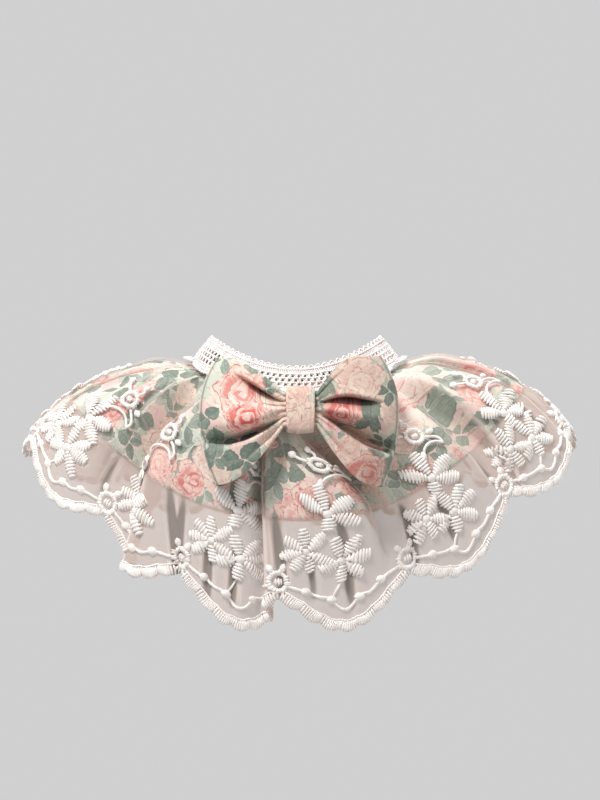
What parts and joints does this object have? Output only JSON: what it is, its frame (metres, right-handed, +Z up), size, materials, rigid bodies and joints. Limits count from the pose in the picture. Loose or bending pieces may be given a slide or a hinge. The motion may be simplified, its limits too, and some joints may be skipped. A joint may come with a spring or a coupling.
{
  "type": "pet lace collar",
  "caption": "Pet's dress-up collar: a short printed cotton ruffle under a long scalloped net ruffle, on a neckband with crochet edging, a front bow and a snap at the nape.",
  "frame": {"origin": "on the neck's axis, level with the band's top edge at the front", "axes": "+Z up along the neck, -Y the front with the bow, +X to the right as the front is seen"},
  "size_m": [0.2898, 0.2406, 0.1472],
  "materials": {
    "net_ruffle": "embroidered tulle",
    "cotton_ruffle": "printed cotton",
    "neckband": "printed cotton",
    "crochet_edging": "crocheted cotton",
    "bow_left": "printed cotton",
    "bow_right": "printed cotton",
    "bow_knot": "printed cotton",
    "snap_cap": "smooth"
  },
  "bodies": {
    "root": {"net_ruffle": "net_ruffle", "cotton_ruffle": "cotton_ruffle", "neckband": "neckband", "crochet_edging": "crochet_edging", "bow_left": "bow_left", "bow_right": "bow_right", "bow_knot": "bow_knot", "snap_cap": "snap_cap"}
  },
  "joints": []
}
